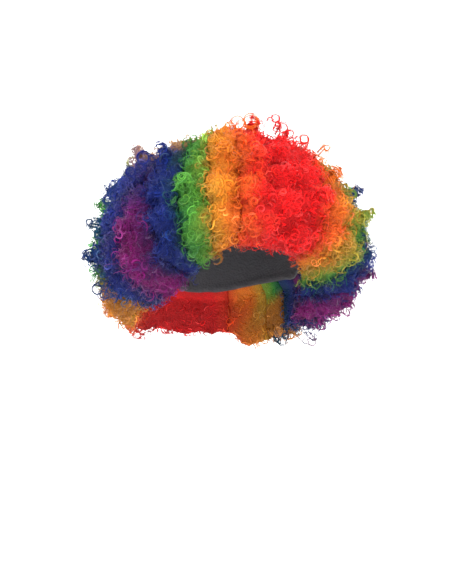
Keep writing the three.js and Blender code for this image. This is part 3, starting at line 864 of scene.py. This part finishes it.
def make_light(name, place, size, power, colour):
    """A round soft light that looks at the wig."""
    data = bpy.data.lights.new(name, "AREA")
    data.shape = "DISK"
    data.size = size
    data.energy = power
    data.color = colour
    light = bpy.data.objects.new(name, data)
    bpy.context.scene.collection.objects.link(light)
    light.location = place
    light.rotation_mode = "QUATERNION"
    light.rotation_quaternion = (Vector((0, 0, -0.07)) - Vector(place)).to_track_quat("-Z", "Y")


def make_lights():
    """Three soft lights, a white world and plain colours."""
    right, up, back = camera_frame()
    make_light("key", back * 1.6 + up * 1.1 - right * 0.7, 1.0, 21, (1, 0.98, 0.95))
    make_light("fill", back * 1.7 + up * 0.1 + right * 1.4, 1.2, 10, (0.97, 0.98, 1))
    make_light("top", Vector((0.1, 0.5, 1.7)), 1.0, 14, (1, 1, 1))
    world = bpy.data.worlds.new("studio")
    world.use_nodes = True
    world.node_tree.nodes["Background"].inputs["Color"].default_value = (1, 1, 1, 1)
    world.node_tree.nodes["Background"].inputs["Strength"].default_value = 0.6
    bpy.context.scene.world = world
    bpy.context.scene.view_settings.view_transform = "Standard"


def outline_depth(node, right, up):
    """How far towards the camera the hair of a node lies where it comes nearest to a place in the picture."""
    across, upward, back = [np.array(v) for v in camera_frame()]
    offset = sides_of(triangles_of(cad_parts[node]))[2] - CENTRE
    gap = np.hypot(offset @ across - right * MM, offset @ upward - up * MM)
    return (offset[gap < gap.min() + LOOP_NEAR] @ back).mean()


def outline_line(right, up, depth, radius, hook, beside, beneath):
    """A loose curl seen in the outline: up out of the hair and round to one side in a narrowing spiral, square
    to the way it is looked at, some mm beside and beneath a place."""
    across, upward, back = [np.array(v) for v in camera_frame()]
    place = (across * right + upward * up) * MM
    out = unit(place)
    middle = CENTRE + place * (1 - depth / CAMERA_AWAY) + back * depth
    middle = middle + (np.cross(back, out) * beside - out * beneath) * MM
    side = np.cross(back, out) * (1 if hook > 0 else -1)
    t = np.linspace(0, 1, SCREW_POINTS)
    after_root = t - LOOP_ROOT_SHARE
    angle = 2 * math.pi * abs(hook) * np.maximum(0, after_root) / (1 - LOOP_ROOT_SHARE)
    reach = radius * MM * (LOOP_WIDE - LOOP_NARROWS * t)
    root = np.minimum(after_root, 0) / LOOP_ROOT_SHARE * LOOP_ROOT
    return (middle + side * (np.cos(angle) * reach)[:, None] + out * (np.sin(angle) * reach + root)[:, None]
            + back * ((t - 0.5) * LOOP_WIND)[:, None])


def add_curls(slot, kind, curls):
    """One piece of corkscrews and outline curls of a colour: each is its node, line, strands and thickness."""
    rng = np.random.default_rng(700 + len(curls))
    lines, spokes, colours = [], [], []
    for node, line, strands, thick in curls:
        made, spoke = bundle(line, rng, strands, thick)
        lines.append(made)
        spokes.append(spoke)
        own = fibre_colour(node, line[-1:], rng.normal(0, 0.08, 1))[0] * rng.uniform(0.75, 1)
        each = own * rng.lognormal(0, 0.16, (strands, 1))
        # painted shade towards the roots of the corkscrews and outline curls
        colours.append(np.clip(each[:, None, :] * root_painted_shade(SCREW_POINTS, 0.35)[None, :, None], 0, 1))
    lines, spokes, colours = [np.concatenate(part) for part in (lines, spokes, colours)]
    t = np.linspace(0, 1, SCREW_POINTS)
    tapered = STRAND * 1.15 * (1 - 0.45 * smooth((t - 0.8) / 0.2))
    half = tapered[None, :] * rng.uniform(0.8, 1.25, (len(lines), 1))
    piece = tube_mesh(kind + "_" + slot.replace("_hair", ""), lines, spokes, half, colours)
    piece.data.materials.append(fibre[slot])
    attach(piece, "root")


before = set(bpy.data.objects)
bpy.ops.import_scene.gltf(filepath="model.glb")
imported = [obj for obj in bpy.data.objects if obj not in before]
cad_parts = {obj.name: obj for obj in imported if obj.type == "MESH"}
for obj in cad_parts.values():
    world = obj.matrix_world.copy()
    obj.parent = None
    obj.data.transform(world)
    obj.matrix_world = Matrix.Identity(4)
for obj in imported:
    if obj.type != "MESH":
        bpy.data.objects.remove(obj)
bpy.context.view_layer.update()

fibre = {slot: fibre_material(slot, 0.42) for slot in
         ("red_hair", "orange_hair", "green_hair", "blue_hair", "purple_hair")}
coats = {slot: undercoat_material(slot + "_undercoat") for slot in fibre}

screws = {slot: [] for slot in fibre}
for number, node in enumerate(sorted(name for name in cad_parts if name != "cap")):
    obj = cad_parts[node]
    slot = band_of(node)[0]
    rng = np.random.default_rng(100 + number)
    tri = triangles_of(obj)

    coat = make_undercoat(node, obj, tri, coats[slot])
    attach(coat, "root")
    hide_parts(node)

    for line in screw_lines(tri):
        screws[slot].append((node, line, SCREW_STRANDS, SCREW_HALF * SCREW_FILL))

    wide = 1
    smooth_tri = tri[~on_ringlets(tri)]
    outside = hair_places(smooth_tri, rng, RINGLET_SPACING * wide, False)
    inside = hair_places(smooth_tri, rng, INNER_SPACING * wide, True)
    between = hair_places(smooth_tri, rng, FRIZZ_SPACING * wide, False)
    around = np.concatenate([outside[0], between[0]])
    add_strands(node, "ringlets", slot, rng, RINGLET_POINTS, STRAND, [
        (outside, around, RINGLET_STRANDS, *OUTER_COILS),
        (inside, inside[0], 1, *INNER_COILS),
    ])
    pick = rng.choice(len(outside[0]), size=min(len(outside[0]), FLYAWAYS), replace=False)
    loose = (outside[0][pick], outside[1][pick])
    add_strands(node, "frizz", slot, rng, FRIZZ_POINTS, FRIZZ, [
        (between, around, 1, *FRIZZ_COILS),
        (loose, around, 1, *FLYAWAY_COILS),
    ])

for slot, curls in screws.items():
    add_curls(slot, "corkscrews", curls)
loops = {slot: [] for slot in fibre}
for node, right, up, radius, hook in OUTLINE_CURLS:
    depth = outline_depth(node, right, up)
    for strands, size, beside, beneath in LOOP_GROUP:
        turned = hook if size == 1 else -hook
        line = outline_line(right, up, depth, radius * size, turned, radius * beside, radius * beneath)
        loops[band_of(node)[0]].append((node, line, strands, LOOP_HALF))
for slot, curls in loops.items():
    if curls:
        add_curls(slot, "loops", curls)

cloth = make_cap(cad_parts["cap"])
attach(cloth, "root")
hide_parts("cap")

make_stage()
make_camera()
make_lights()
